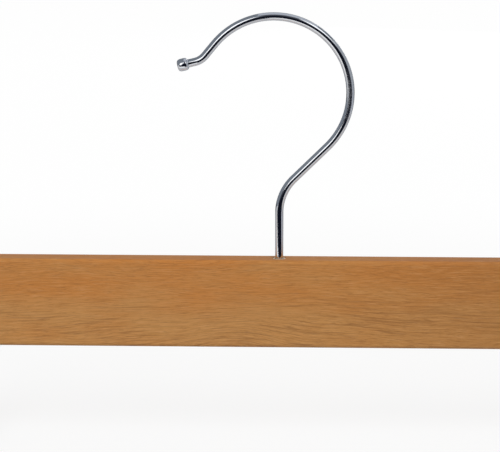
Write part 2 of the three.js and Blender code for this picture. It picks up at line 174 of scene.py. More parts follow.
# Ears and pin, whose domed head is given by its radius and the drop from its tip
EAR_RADIUS = 3 * MM
EAR_INNER = 9.492 * MM
EAR_OUTER = 10.792 * MM
PIN_RADIUS = 1.5 * MM
PIN_HOLE = 1.65 * MM
PIN_HEAD = 2.3 * MM
PIN_HEAD_X = 12.092 * MM
PIN_HEAD_LENGTH = 0.9 * MM
PIN_HEAD_RIM = 0.12 * MM
PIN_HEAD_EDGE = 0.1 * MM
PIN_DOME = ((0, 0), (0.9 * MM, 0.06 * MM), (1.5 * MM, 0.22 * MM), (2.0 * MM, 0.5 * MM))

# Spring: its legs leave the coils at LEG_ANGLE radians, its wires part COIL_SPLIT of the length from half
# way, and it winds between WIND_START and WIND_END from the pin's axis
SPRING_WIRE = 1 * MM
COIL_RADIUS = 2.6 * MM
COIL_START = 4.3 * MM
COIL_END = 8.692 * MM
COIL_TURNS = 2
COIL_SPLIT = 0.0002
LEG_TIP = (-8.576 * MM, 10.475 * MM)
LEG_ANGLE = 0.8793
BRIDGE_BEND = 1.4 * MM

# Grip
GRIP_HALF = 17.5 * MM
GRIP_FRONT = -0.2 * MM
GRIP_BACK = -3.1 * MM
GRIP_TOP = -11.2 * MM
GRIP_BOTTOM = -20.4 * MM
GRIP_RIDGES = 5
GRIP_RIDGE_DEPTH = 0.6 * MM
GRIP_RIDGE_FLAT = (0.25, 0.75)
GRIP_ROUND = 0.28 * MM
GRIP_EDGE = 0.35 * MM


# Modelling

def deselect():
    """Leaves edit mode with nothing selected."""
    if bpy.context.object and bpy.context.object.mode != "OBJECT":
        bpy.ops.object.mode_set(mode="OBJECT")
    bpy.ops.object.select_all(action="DESELECT")


def take(piece):
    """Makes one object the only selected one."""
    deselect()
    piece.select_set(True)
    bpy.context.view_layer.objects.active = piece


def begin(name, add, **how):
    """Adds a primitive at its size and place, and opens it with everything selected."""
    deselect()
    add(**how)
    piece = bpy.context.object
    piece.name = name
    piece.data.name = name
    bpy.ops.object.transform_apply(location=True, rotation=True, scale=True)
    bpy.ops.object.mode_set(mode="EDIT")
    bpy.ops.mesh.select_mode(type="VERT")
    bpy.ops.mesh.select_all(action="SELECT")
    return piece


def extrude(by):
    bpy.ops.mesh.extrude_region_move(TRANSFORM_OT_translate={"value": by})


def draw(name, route):
    """A line of vertices drawn from point to point, left open for editing."""
    piece = begin(name, bpy.ops.mesh.primitive_plane_add, size=MM, location=route[0])
    bpy.ops.mesh.merge(type="CENTER")
    for here, there in zip(route, route[1:]):
        extrude(Vector(there) - Vector(here))
    bpy.ops.mesh.select_all(action="SELECT")
    return piece


def choose(kind, test):
    """Selects the open mesh's faces, edges or verts that pass a test."""
    bpy.ops.mesh.select_mode(type={"faces": "FACE", "edges": "EDGE", "verts": "VERT"}[kind])
    bpy.ops.mesh.select_all(action="DESELECT")
    data = bpy.context.object.data
    mesh = bmesh.from_edit_mesh(data)
    for element in getattr(mesh, kind):
        if test(element):
            element.select_set(True)
    mesh.select_flush_mode()
    bmesh.update_edit_mesh(data)


def middle(edge):
    return (edge.verts[0].co + edge.verts[1].co) / 2


def clean():
    """Merges the open mesh's doubles and turns all its faces outwards."""
    bpy.ops.mesh.select_all(action="SELECT")
    bpy.ops.mesh.remove_doubles(threshold=WELD)
    bpy.ops.mesh.normals_make_consistent(inside=False)


def shape(piece, kind, **settings):
    """Adds a modifier and applies it."""
    take(piece)
    modifier = piece.modifiers.new(kind, kind)
    for name, value in settings.items():
        setattr(modifier, name, value)
    bpy.ops.object.modifier_apply(modifier=modifier.name)


def combine(piece, operation, tool):
    """Cuts a piece with a tool, or joins the tool to it, and uses the tool up."""
    deselect()
    shape(piece, "BOOLEAN", operation=operation, object=tool, solver="EXACT")
    bpy.data.objects.remove(tool)
    bpy.ops.object.mode_set(mode="EDIT")
    clean()
    deselect()


def round_edges(piece, width, segments=2, angle=40):
    """Rounds the edges that are sharper than an angle in degrees."""
    limit = math.radians(angle)
    shape(piece, "BEVEL", width=width, segments=segments, limit_method="ANGLE", angle_limit=limit)


def spun(name, profile, place, steps=48):
    """A profile of (radius, height) pairs turned about the vertical through a place."""
    piece = draw(name, [place + RIGHT * radius + UP * height for radius, height in profile])
    bpy.ops.mesh.spin(steps=steps, angle=2 * math.pi, center=place, axis=UP)
    clean()
    return piece


def rod(name, radius, foot, head, sides=48):
    """A plain round cutter from one point to another."""
    way = head - foot
    piece = begin(name, bpy.ops.mesh.primitive_cylinder_add, vertices=sides, radius=radius,
                  depth=way.length, location=(foot + head) / 2,
                  rotation=way.to_track_quat("Z", "Y").to_euler())
    deselect()
    return piece


def dressed(piece, finish, slot, *nodes, smooth=35):
    """Shades a piece, gives it its finish and puts it in place of its nodes."""
    take(piece)
    bpy.ops.object.shade_smooth_by_angle(angle=math.radians(smooth))
    shape(piece, "WEIGHTED_NORMAL", keep_sharp=True)
    piece.data.materials.clear()
    piece.data.materials.append(finish)
    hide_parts(*nodes)
    deselect()
    return piece


def copied(piece, name, turn):
    """A copy with its own mesh, turned and placed by a matrix."""
    copy = piece.copy()
    copy.data = piece.data.copy()
    copy.name = name
    copy.data.name = name
    bpy.context.collection.objects.link(copy)
    copy.data.transform(turn)
    return copy


def corners_of(node):
    """A node's lowest and highest corners."""
    low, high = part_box(node)
    return Vector(low), Vector(high)


def centre_of(node):
    low, high = corners_of(node)
    return (low + high) / 2


def arc(centre, radius, start, end, steps):
    """Flat points round a centre, from one angle in degrees to another."""
    angles = [math.radians(start + (end - start) * i / steps) for i in range(steps + 1)]
    return [(centre[0] + radius * math.cos(a), centre[1] + radius * math.sin(a)) for a in angles]


def across(flat):
    """Flat (front-to-back, up) pairs as points in the plane across the bar."""
    return [Vector((0, y, z)) for y, z in flat]


def rounded(corners, reach, steps=6):
    """A route with each inner corner rounded."""
    corners = [Vector(corner) for corner in corners]
    route = [corners[0]]
    for before, corner, after in zip(corners, corners[1:], corners[2:]):
        near = min(reach, (corner - before).length / 2, (corner - after).length / 2)
        start = corner + (before - corner).normalized() * near
        end = corner + (after - corner).normalized() * near
        for i in range(steps + 1):
            t = i / steps
            route.append(start.lerp(corner, t).lerp(corner.lerp(end, t), t))
    return route + [corners[-1]]


def spaced(route, step):
    """The same route with points an even step apart."""
    even = [route[0]]
    left = step
    for here, there in zip(route, route[1:]):
        done = 0
        length = (there - here).length
        while length - done >= left:
            done += left
            even.append(here.lerp(there, done / length))
            left = step
        left -= length - done
    if (even[-1] - route[-1]).length < step / 2:
        even.pop()
    return even + [route[-1]]


def eased(share):
    """A share from 0 to 1 that starts and ends level."""
    return share * share * (3 - 2 * share)


class Wire:
    """Round wire pushed from a ring through straight runs and bends in the XZ plane."""

    def __init__(self, name, place, heading, radius, sides):
        self.at = Vector(place)
        self.heading = math.radians(heading)
        self.radius = radius
        turn = self.ahead().to_track_quat("Z", "Y").to_euler()
        self.piece = begin(name, bpy.ops.mesh.primitive_circle_add, vertices=sides, radius=radius,
                           location=self.at, rotation=turn)

    def ahead(self):
        return Vector((math.cos(self.heading), 0, math.sin(self.heading)))

    def run(self, length, radius=None):
        """Goes straight on, to a new radius if one is given."""
        extrude(self.ahead() * length)
        self.at += self.ahead() * length
        if radius:
            share = radius / self.radius
            bpy.ops.transform.resize(value=(share, share, share), center_override=self.at)
            self.radius = radius

    def bend(self, radius, turn, step=3):
        """Bends left by an angle in degrees, or right by a negative one."""
        side = math.copysign(1, turn)
        left = Vector((-self.ahead().z, 0, self.ahead().x))
        centre = self.at + left * radius * side
        angle = math.radians(abs(turn))
        bpy.ops.mesh.spin(steps=math.ceil(abs(turn) / step), angle=angle, center=centre,
                          axis=BACK * side)
        self.at = centre + Matrix.Rotation(-angle * side, 3, "Y") @ (self.at - centre)
        self.heading += angle * side

    def end(self):
        """Closes both ends."""
        bpy.ops.mesh.select_all(action="SELECT")
        bpy.ops.mesh.fill_holes(sides=0)
        clean()
        return self.piece


# Finishes

class Value:
    """A shader socket that takes part in Python expressions."""

    def __init__(self, graph, socket):
        self.graph = graph
        self.socket = socket

    def __add__(self, other):
        return self.graph.calculate("ADD", self, other)

    def __radd__(self, other):
        return self.graph.calculate("ADD", other, self)

    def __sub__(self, other):
        return self.graph.calculate("SUBTRACT", self, other)

    def __rsub__(self, other):
        return self.graph.calculate("SUBTRACT", other, self)

    def __mul__(self, other):
        return self.graph.calculate("MULTIPLY", self, other)

    def __rmul__(self, other):
        return self.graph.calculate("MULTIPLY", other, self)

    def __pow__(self, other):
        return self.graph.calculate("POWER", self, other)

    def __abs__(self):
        return self.graph.calculate("ABSOLUTE", self)


class Graph:
    """A node tree written as expressions."""

    def __init__(self, tree):
        self.tree = tree

    def add(self, kind, settings, inputs, out=0):
        """Adds a node with its settings and sockets, and gives one of its outputs."""
        node = self.tree.nodes.new("ShaderNode" + kind)
        for name, value in settings.items():
            setattr(node, name, value)
        for name, value in inputs.items():
            self.put(node.inputs[name], value)
        return Value(self, node.outputs[out])

    def put(self, socket, value):
        """Links or sets a socket."""
        if isinstance(value, Value):
            self.tree.links.new(value.socket, socket)
        else:
            socket.default_value = value

    def calculate(self, operation, first, second=0.0):
        return self.add("Math", {"operation": operation}, {0: first, 1: second})

    def noise(self, place, scale, detail=2.0, rough=0.5):
        """Noise with its own scale along each axis."""
        stretched = self.add("Mapping", {}, {"Vector": place, "Scale": scale})
        return self.add("TexNoise", {}, {"Vector": stretched, "Scale": 1.0, "Detail": detail,
                                         "Roughness": rough})

    def step(self, value, low, high):
        """A smooth step from 0 at low to 1 at high."""
        return self.add("MapRange", {"interpolation_type": "SMOOTHSTEP"},
                        {"Value": value, "From Min": low, "From Max": high})

    def mix(self, share, first, second):
        return self.add("Mix", {"data_type": "RGBA"}, {0: share, 6: first, 7: second}, out=2)

    def layered(self, colour, *layers):
        """A colour with tones laid over it in turn, each by a mask and the share it takes there."""
        for mask, share, tone in layers:
            colour = self.mix(mask * share, colour, tone)
        return colour

    def bump(self, height, strength, distance, normal=None):
        inputs = {"Height": height, "Strength": strength, "Distance": distance}
        if normal:
            inputs["Normal"] = normal
        return self.add("Bump", {}, inputs)


class Finish(Graph):
    """A material whose patterns are in millimetres of the piece's own space."""

    def __init__(self, name, constants):
        self.material = bpy.data.materials.new(name)
        self.material.use_nodes = True
        super().__init__(self.material.node_tree)
        self.shader = self.tree.nodes["Principled BSDF"]
        self.set(constants)
        place = self.add("TexCoord", {}, {}, out="Object")
        self.place = self.add("Mapping", {}, {"Vector": place, "Scale": (1 / MM,) * 3})

    def set(self, sockets):
        for name, value in sockets.items():
            self.put(self.shader.inputs[name], value)

    def show(self, surface):
        """Puts a shader of its own on the surface."""
        self.put(self.tree.nodes["Material Output"].inputs["Surface"], surface)

    def along(self, axis):
        """Millimetres along one axis."""
        return self.add("SeparateXYZ", {}, {0: self.place}, out=axis)


def paint(red, green, blue):
    """A colour from its screen values, 0 to 255, by the sRGB curve."""
    linear = [part / 12.92 if part <= 0.04045 else ((part + 0.055) / 1.055) ** 2.4
              for part in (red / 255, green / 255, blue / 255)]
    return (*linear, 1.0)


def lacquered_wood():
    """Grain along the bar, arched in its lower half, under a thin satin lacquer."""
    wood = Finish("lacquered_wood", {"Coat Weight": 0.1, "Coat Roughness": 0.2, "Specular IOR Level": 0.3})
    along, deep, up = wood.along("X"), wood.along("Y"), wood.along("Z")

    # The grain's own height: it leans through the board, drifts, wavers, and is lifted by the arch
    arch_middle, arch_narrowness, arch_height = -21, 0.033, 10
    lean, drift_height, waver_height, border_drift = 0.35, 14, 1.6, 30
    drift = wood.noise(wood.place, scale=(0.009, 0.05, 0.03))
    waver = wood.noise(wood.place, scale=(0.05, 0.15, 0.2))
    lower = wood.step(up + border_drift * drift, low=-92.0, high=-122.0)
    arch = (1 + ((along - arch_middle) * arch_narrowness) ** 2) ** -1
    height = up + lean * deep - lower * arch_height * arch + drift_height * drift + waver_height * waver
    grain = wood.add("CombineXYZ", {}, {0: along, 1: deep, 2: height})

    # Fine fibres, broken ring lines that show most in the lower half, and pores
    fibres = wood.noise(grain, scale=(0.11, 2.2, 2.6), detail=4.0, rough=0.65)
    rings = wood.step(abs(wood.noise(grain, scale=(0.013, 0.15, 0.75)) - 0.5), low=0.040, high=0.0)
    broken = wood.step(wood.noise(wood.place, scale=(0.03, 0.1, 0.3)), low=0.36, high=0.56)
    upper_share = 0.3
    lines = rings * broken * (upper_share + (1 - upper_share) * lower)
    pores = wood.step(wood.noise(grain, scale=(0.30, 3.6, 4.5), rough=0.6), low=0.50, high=0.70)

    # Broad tones: warm patches, a browner right end, and darker end grain
    warmer_top = 0.40
    patches = wood.noise(wood.place, scale=(0.02, 0.1, 0.09)) - warmer_top * lower
    right = wood.step(along, low=0.0, high=110.0)
    ends = wood.step(abs(along), low=176.4, high=177.4)
    colour = wood.layered(
        wood.mix(wood.step(patches, low=0.0, high=0.60), paint(196, 140, 76), paint(197, 126, 54)),
        (right, 0.42, paint(166, 109, 54)),
        (wood.step(fibres, low=0.48, high=0.68), 0.45, paint(158, 101, 47)),
        (wood.step(fibres, low=0.50, high=0.30), 0.42, paint(212, 160, 102)),
        (lines, 0.50, paint(128, 82, 40)),
        (pores, 0.36, paint(122, 76, 36)),
        (ends, 0.45, paint(132, 84, 42)))
    relief = fibres * 0.6 - pores * 0.5 - lines * 0.2
    wood.set({"Base Color": colour,
              "Roughness": 0.46 + 0.14 * fibres - 0.06 * lines,
              "Normal": wood.bump(relief, strength=0.12, distance=0.12 * MM)})
    return wood.material


def polished_chrome():
    """Bright plating, dulled by handling on the outside of the hook's arch."""
    chrome = Finish("polished_chrome", {"Metallic": 1.0})
    haze = chrome.noise(chrome.place, scale=(0.5, 0.5, 0.5), detail=3.0)
    dimples = chrome.noise(chrome.place, scale=(1.3, 1.3, 1.3), detail=3.0, rough=0.6)
    scuffs = chrome.step(chrome.noise(chrome.place, scale=(2.5, 2.5, 0.25), rough=0.7), low=0.6, high=0.75)
    handled = chrome.step(chrome.along("X") + 3 * haze, low=28.5, high=31.5)
    relief = dimples + 0.3 * scuffs + dimples * handled
    chrome.set({"Base Color": chrome.mix(haze, paint(222, 226, 233), paint(236, 238, 240)),
                "Roughness": 0.03 + 0.05 * haze + 0.06 * scuffs + 0.22 * handled,
                "Normal": chrome.bump(relief, strength=0.08, distance=0.12 * MM)})
    return chrome.material


def plated_sheet():
    """Plated sheet with fine rolling lines and slight ripples."""
    sheet = Finish("plated_sheet", {"Metallic": 1.0})
    haze = sheet.noise(sheet.place, scale=(0.12, 0.12, 0.12), detail=3.0)
    rolled = sheet.noise(sheet.place, scale=(0.08, 2.0, 3.5), detail=3.0)
    ripple = sheet.noise(sheet.place, scale=(0.10, 0.15, 0.15), detail=1.0)
    waves = sheet.bump(ripple, strength=0.5, distance=0.6 * MM)
    sheet.set({"Base Color": sheet.mix(haze, paint(224, 226, 229), paint(234, 235, 236)),
               "Roughness": 0.15 + 0.08 * rolled + 0.08 * haze,
               "Normal": sheet.bump(rolled, strength=0.05, distance=0.03 * MM, normal=waves)})
    return sheet.material


def drawn_steel():
    """Steel with drawing lines and dull stains."""
    steel = Finish("drawn_steel", {"Metallic": 1.0})
    drawn = steel.noise(steel.place, scale=(0.06, 4.0, 4.0), detail=3.0, rough=0.6)
    stain = steel.noise(steel.place, scale=(0.12, 0.3, 0.3), detail=3.0)
    dull = steel.step(stain, low=0.45, high=0.75)
    steel.set({"Base Color": steel.mix(dull, paint(200, 203, 206), paint(170, 170, 168)),
               "Roughness": 0.22 + 0.14 * drawn + 0.08 * stain,
               "Normal": steel.bump(drawn, strength=0.08, distance=0.04 * MM)})
    return steel.material


def natural_nylon():
    """Undyed nylon, slightly mottled."""
    nylon = Finish("natural_nylon", {})
    mottle = nylon.noise(nylon.place, scale=(1.2, 1.2, 0.8), detail=3.0)
    grain = nylon.noise(nylon.place, scale=(9.0, 9.0, 9.0))
    nylon.set({"Base Color": nylon.mix(mottle, paint(206, 180, 150), paint(224, 204, 176)),
               "Roughness": 0.38 + 0.18 * mottle,
               "Normal": nylon.bump(grain, strength=0.08, distance=0.05 * MM)})
    return nylon.material


def soft_vinyl():
    """Dark soft vinyl with a dusty bloom."""
    vinyl = Finish("soft_vinyl", {"Specular IOR Level": 0.4})
    bloom = vinyl.noise(vinyl.place, scale=(0.25, 0.4, 0.4), detail=4.0, rough=0.6)
    grain = vinyl.noise(vinyl.place, scale=(6.0, 6.0, 6.0), rough=0.6)
    dusty = vinyl.step(bloom, low=0.45, high=0.80)
    vinyl.set({"Base Color": vinyl.mix(dusty, paint(30, 31, 33), paint(58, 58, 59)),
               "Roughness": 0.52 + 0.20 * bloom,
               "Normal": vinyl.bump(grain, strength=0.18, distance=0.06 * MM)})
    return vinyl.material


WOOD = lacquered_wood()
CHROME = polished_chrome()
PLATE = plated_sheet()
STEEL = drawn_steel()
NYLON = natural_nylon()
VINYL = soft_vinyl()


# Bar, hook and swivel

bar_low, bar_high = corners_of("wood_bar")
bar_middle = (bar_low + bar_high) / 2
stem_top = Vector((0, 0, bar_high.z))
rail_low, rail_high = corners_of("clip_rail")
rail_leg = rail_high.x - RAIL_RADIUS
groove_roof = bar_low.z + GROOVE_DEPTH


def groove_cutter():
    """A long slot with round ends and a flared mouth, which runs on at its slope below the wood."""
    cutter = begin("groove_cutter", bpy.ops.mesh.primitive_circle_add, vertices=34,
                   radius=GROOVE_WIDTH / 2, fill_type="NGON", location=(0, 0, groove_roof))
    for side in (1, -1):
        choose("verts", lambda vert: vert.co.x * side > 0)
        bpy.ops.transform.translate(value=RIGHT * rail_leg * side)
    bpy.ops.mesh.select_all(action="SELECT")
    extrude(UP * (GROOVE_FLARE - GROOVE_DEPTH))
    spread = 2 * GROOVE_FLARE
    extrude(-UP * spread)
    bpy.ops.transform.resize(value=(1, 1 + 2 * spread / GROOVE_WIDTH, 1),
                             center_override=(0, 0, bar_low.z))
    clean()
    return cutter


def bar():
    """The board with rounded corners and edges, cut for the rail, the nut, the stem and the bush."""
    board = begin("bar_board", bpy.ops.mesh.primitive_cube_add, size=1, location=bar_middle,
                  scale=bar_high - bar_low)
    choose("edges", lambda edge: abs(edge.verts[0].co.y - edge.verts[1].co.y) > NEAR)
    bpy.ops.mesh.bevel(offset=BAR_CORNER, segments=12, affect="EDGES")
    choose("edges", lambda edge: abs(abs(middle(edge).y) - bar_high.y) < NEAR)
    bpy.ops.mesh.bevel(offset=BAR_EDGE, segments=6, affect="EDGES")
    bush_low, bush_high = corners_of("swivel_bush")
    bush_seat = bush_high.x + SEAT_GAP
    past = UP * PAST
    roof = stem_top - UP * POCKET_ROOF
    floor = Vector((0, 0, bar_low.z))
    foot = Vector((0, 0, bush_low.z - SEAT_GAP))
    combine(board, "DIFFERENCE", groove_cutter())
    combine(board, "DIFFERENCE", rod("pocket_cutter", POCKET_RADIUS, floor - past, roof))
    combine(board, "DIFFERENCE", rod("bore_cutter", STEM_BORE, roof - past, foot + past))
    combine(board, "DIFFERENCE", rod("seat_cutter", bush_seat, foot, stem_top + past))
    for side in (1, -1):
        hole = Vector((rail_leg * side, 0, 0))
        leg_foot = hole + UP * (groove_roof - PAST)
        leg_top = hole + UP * (rail_high.z + SEAT_GAP)
        combine(board, "DIFFERENCE", rod("leg_cutter", RAIL_RADIUS + SEAT_GAP, leg_foot, leg_top))
    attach(dressed(board, WOOD, "wood", "wood_bar", smooth=25), "bar")


def hook():
    """One wire from its threaded foot through the neck and the arch to the ball."""
    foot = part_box("hook")[0][2]
    crest = HOOK_WIRE / 2
    root = crest - THREAD_DEPTH
    wire = Wire("hook_wire", (0, 0, foot), heading=90, radius=root, sides=32)
    for _ in range(THREAD_TURNS):
        wire.run(THREAD_PITCH / 2, crest)
        wire.run(THREAD_PITCH / 2, root)
    wire.run(THREAD_PITCH / 2, crest)
    wire.run(bar_high.z + HOOK_STEM - wire.at.z)
    wire.bend(HOOK_NECK_RADIUS, -HOOK_NECK_ANGLE)
    wire.run(HOOK_NECK_RUN)
    wire.bend(HOOK_ARCH_RADIUS, HOOK_ARCH_ANGLE)
    wire.run(HOOK_TIP_RUN)
    wire.bend(HOOK_TIP_RADIUS, -HOOK_TIP_ANGLE)
    along = -HOOK_TIP_LENGTH
    for place, radius in BALL_PROFILE:
        wire.run(place * MM - along, radius * MM)
        along = place * MM
    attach(dressed(wire.end(), CHROME, "hook_chrome", "hook", smooth=50), "hook")


def bush():
    """A sleeve round the stem with rounded lips."""
    low, high = corners_of("swivel_bush")
    inner = STEM_BORE
    outer = high.x
    length = high.z - low.z
    lip = BUSH_LIP
    turn = lip / 3
    profile = [(inner, -length), (outer - lip, -length), (outer, lip - length), (outer, -lip),
               (outer - turn, -turn), (outer - lip, 0), (inner + lip, 0), (inner + turn, -turn),
               (inner, -lip), (inner, -length)]
    piece = spun("bush_sleeve", profile, stem_top)
    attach(dressed(piece, NYLON, "nylon", "swivel_bush"), "bar")


def washer():
    """A flat ring with chamfered edges."""
    low, high = corners_of("swivel_washer")
    inner = STEM_BORE
    outer = high.x
    height = high.z - low.z
    edge = WASHER_EDGE
    profile = [(inner, edge), (inner + edge, 0), (outer - edge, 0), (outer, edge), (outer, height - edge),
               (outer - edge, height), (inner + edge, height), (inner, height - edge), (inner, edge)]
    piece = spun("washer_ring", profile, Vector((0, 0, low.z)))
    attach(dressed(piece, STEEL, "steel", "swivel_washer"), "hook")


def nut():
    """A hexagon whose corners are chamfered by a spun tool, with a plain bore."""
    low, high = corners_of("swivel_nut")
    corner = max(high.x, high.y)
    height = high.z - low.z
    foot = Vector((0, 0, low.z))
    head = Vector((0, 0, high.z))
    piece = begin("nut_hex", bpy.ops.mesh.primitive_cylinder_add, vertices=6, radius=corner,
                  depth=height, location=(0, 0, (low.z + high.z) / 2))
    # The tool starts clear of the faces and ends clear of the corners, so that it cuts across both
    clear = NUT_CHAMFER / 2
    slope = [(0, -clear), (corner - 3 * NUT_CHAMFER, -clear), (corner + NUT_CHAMFER, 3 * clear)]
    profile = slope + [(radius, height - place) for radius, place in reversed(slope)]
    combine(piece, "INTERSECT", spun("nut_chamfer", profile, foot))
    past = UP * PAST
    combine(piece, "DIFFERENCE", rod("nut_bore", HOOK_WIRE / 2 + SEAT_GAP, foot - past, head + past))
    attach(dressed(piece, STEEL, "steel", "swivel_nut", smooth=20), "hook")


def rail():
    """A wire along the bar with both ends bent up into the wood."""
    run = rail_high.z - rail_low.z - RAIL_RADIUS - RAIL_BEND
    tip = RAIL_RADIUS - RAIL_TIP
    wire = Wire("rail_wire", (-rail_leg, 0, rail_high.z), heading=-90, radius=tip, sides=24)
    wire.run(RAIL_TIP, RAIL_RADIUS)
    wire.run(run - RAIL_TIP)
    wire.bend(RAIL_BEND, turn=90, step=6)
    wire.run(2 * (rail_leg - RAIL_BEND))
    wire.bend(RAIL_BEND, turn=90, step=6)
    wire.run(run - RAIL_TIP)
    wire.run(RAIL_TIP, tip)
    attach(dressed(wire.end(), STEEL, "steel", "clip_rail", smooth=50), "bar")


# Clip: each shape is drawn round its pin's axis, at the origin, and copied to the clips

def eye(radius):
    """A rolled eye round the origin, from its free end to the strip below it."""
    points = [EYE_END] + arc((0, 0), 1, *EYE_ARC, steps=30) + list(EYE_NECK)
    return [(y * radius, z * radius) for y, z in points]


def link_shape():
    """A strip rolled round the rail at its top and round the pin at its foot."""
    rise = rail_low.z + RAIL_RADIUS - centre_of("left_clip_pin").z
    route = [(y, z + rise) for y, z in eye(RAIL_EYE)]
    route += [(-y, -z) for y, z in reversed(eye(PIN_EYE))]
    piece = draw("link_strip", [point - RIGHT * LINK_WIDTH / 2 for point in across(route)])
    extrude(RIGHT * LINK_WIDTH)
    clean()
    shape(piece, "SOLIDIFY", thickness=LINK_SHEET, offset=0, use_even_offset=True)
    round_edges(piece, PLATE_EDGE)
    return piece


def pin_shape():
    """A pin with a domed rivet head at each end, spun upright and laid along the bar."""
    face = PIN_HEAD_X
    tip = face + PIN_HEAD_LENGTH
    dome = [(radius, tip - drop) for radius, drop in PIN_DOME]
    dome += [(PIN_HEAD, face + PIN_HEAD_RIM), (PIN_HEAD - PIN_HEAD_EDGE, face), (PIN_RADIUS, face)]
    profile = dome + [(radius, -height) for radius, height in reversed(dome)]
    piece = spun("pin_rivet", profile, ORIGIN)
    deselect()
    piece.data.transform(Matrix.Rotation(math.pi / 2, 4, "Y"))
    return piece


def on_coil(x, angle):
    """A point of the coil's round at a place along the bar."""
    return Vector((x, COIL_RADIUS * math.cos(angle), COIL_RADIUS * math.sin(angle)))


def coil(start, end, steps=50):
    """Points of the right coil between two shares of its length, from the bridge outwards."""
    sweep = 2 * LEG_ANGLE + math.pi + COIL_TURNS * 2 * math.pi
    length = COIL_END - COIL_START
    shares = [start + (end - start) * i / steps for i in range(steps + 1)]
    return [on_coil(COIL_START + length * share, LEG_ANGLE - sweep * share) for share in shares]


def mirrored(route):
    """The route of the other side, drawn backwards."""
    return [Vector((-point.x, point.y, point.z)) for point in reversed(route)]


def spring_routes():
    """The bridge with the inner half of each coil, and the two back legs with the outer halves."""
    half = 0.5
    corners = [Vector((0, *LEG_TIP)), Vector((COIL_START, *LEG_TIP)), on_coil(COIL_START, LEG_ANGLE)]
    bridge = rounded(corners, BRIDGE_BEND, steps=8)[1:-1] + coil(0, half - COIL_SPLIT)
    leg = coil(half + COIL_SPLIT, 1) + [Vector((COIL_END, -LEG_TIP[0], LEG_TIP[1]))]
    return [mirrored(bridge) + bridge], [mirrored(leg), leg]


def spring_shape(name, routes):
    """Round wire along each route, made from a curve."""
    deselect()
    bpy.ops.curve.primitive_nurbs_path_add()
    piece = bpy.context.object
    piece.name = name
    curve = piece.data
    curve.splines.clear()
    for route in routes:
        spline = curve.splines.new("POLY")
        spline.points.add(len(route) - 1)
        for point, place in zip(spline.points, route):
            point.co = (*place, 1)
    curve.bevel_depth = SPRING_WIRE / 2
    curve.bevel_resolution = 4
    curve.use_fill_caps = True
    bpy.ops.object.convert(target="MESH")
    bpy.ops.object.mode_set(mode="EDIT")
    clean()
    deselect()
    return piece


def jaw_spine():
    """The jaw's middle line from its lip up to its tab, in even rows counted from the tab's tip."""
    half = (JAW_THROAT - JAW_BOTTOM) / 2
    lean = math.degrees(math.asin(half / JAW_CROWN))
    pivot = (JAW_CROWN * math.cos(math.radians(lean)) - JAW_SEAT, (JAW_BOTTOM + JAW_THROAT) / 2)
    corners = [(-JAW_SEAT + JAW_LIP, JAW_BOTTOM)]
    corners += arc(pivot, JAW_CROWN, 180 + lean, 180 - lean, steps=6)
    corners += [(-JAW_STANDOFF - THROAT_BULGE, (NECK_BOTTOM + JAW_THROAT) / 2),
                (-JAW_STANDOFF, NECK_BOTTOM), (-JAW_STANDOFF, TAB_FOOT), TAB_TIP]
    return spaced(rounded(corners, JAW_FOLD)[::-1], JAW_ROW)[::-1]


def jaw_half(point):
    """Half the jaw's width at a point of its spine."""
    height = point.y
    if height < JAW_THROAT:
        inset = LIP_CORNER - (height - JAW_BOTTOM) - (JAW_SEAT + point.x) * LIP_LEAN
        return JAW_HALF - LIP_INSET * (max(0, inset) / LIP_CORNER) ** 2
    if height < SHOULDER:
        share = (height - JAW_THROAT) / (SHOULDER - JAW_THROAT)
        return JAW_HALF + (NECK_HALF - JAW_HALF) * eased(share)
    share = min(max((height - EAR_RADIUS) / TAB_TAPER, 0), 1)
    return NECK_HALF + (TAB_HALF - NECK_HALF) * share


def jaw_sheet():
    """The jaw's sheet in rows from its lip to its tab, whose two corners are spun round."""
    spine = jaw_spine()
    halves = [jaw_half(point) for point in spine]
    shares = [2 * i / JAW_COLUMNS - 1 for i in range(JAW_COLUMNS + 1)]
    piece = draw("jaw_plate", [Vector((halves[0] * share, *spine[0])) for share in shares])
    last = len(spine) - 1 - CORNER_ROWS
    for i in range(1, last + 1):
        extrude(Vector((0, *(spine[i] - spine[i - 1]))))
        bpy.ops.transform.resize(value=(halves[i] / halves[i - 1], 1, 1), center_override=(0, *spine[i]))
    shoulder = Vector((0, *spine[last]))
    rise = Vector((0, *spine[-1])) - shoulder
    inner = TAB_HALF - rise.length
    choose("verts", lambda vert: abs(vert.co.z - shoulder.z) < NEAR and abs(vert.co.x) < inner + NEAR)
    for _ in range(CORNER_ROWS):
        extrude(rise / CORNER_ROWS)
    for side in (RIGHT, -RIGHT):
        centre = shoulder + side * inner
        choose("verts", lambda vert: abs(vert.co.x - centre.x) < NEAR and vert.co.z > centre.z - NEAR)
        bpy.ops.mesh.spin(steps=CORNER_STEPS, angle=math.pi / 2, center=centre, axis=side.cross(rise))
    clean()
    # An open sheet may come out facing either way; this one faces the front
    mesh = bmesh.from_edit_mesh(piece.data)
    if sum(face.normal.y * face.calc_area() for face in mesh.faces) > 0:
        bpy.ops.mesh.flip_normals()
    return piece


def jaw_ribs():
    """Presses ribs out of the open jaw's tab, with hollows behind them."""
    tip = Vector(TAB_TIP)
    along = (tip - Vector((-JAW_STANDOFF, TAB_FOOT))).normalized()

    def on_rib(face, row, side):
        centre = face.calc_center_median()
        place = (tip - centre.yz).dot(along) / JAW_ROW
        in_rows = row < place < row + RIB_SPAN
        return in_rows and abs(centre.x) < RIB_HALF and face.normal.y * side > RIB_FACING

    for row in RIB_ROWS:
        for side, walls in ((-1, RIB_WALLS), (1, RIB_HOLLOWS)):
            choose("faces", lambda face: on_rib(face, row, side))
            for wall, rise in walls:
                bpy.ops.mesh.inset(thickness=wall, depth=rise, use_even_offset=True)


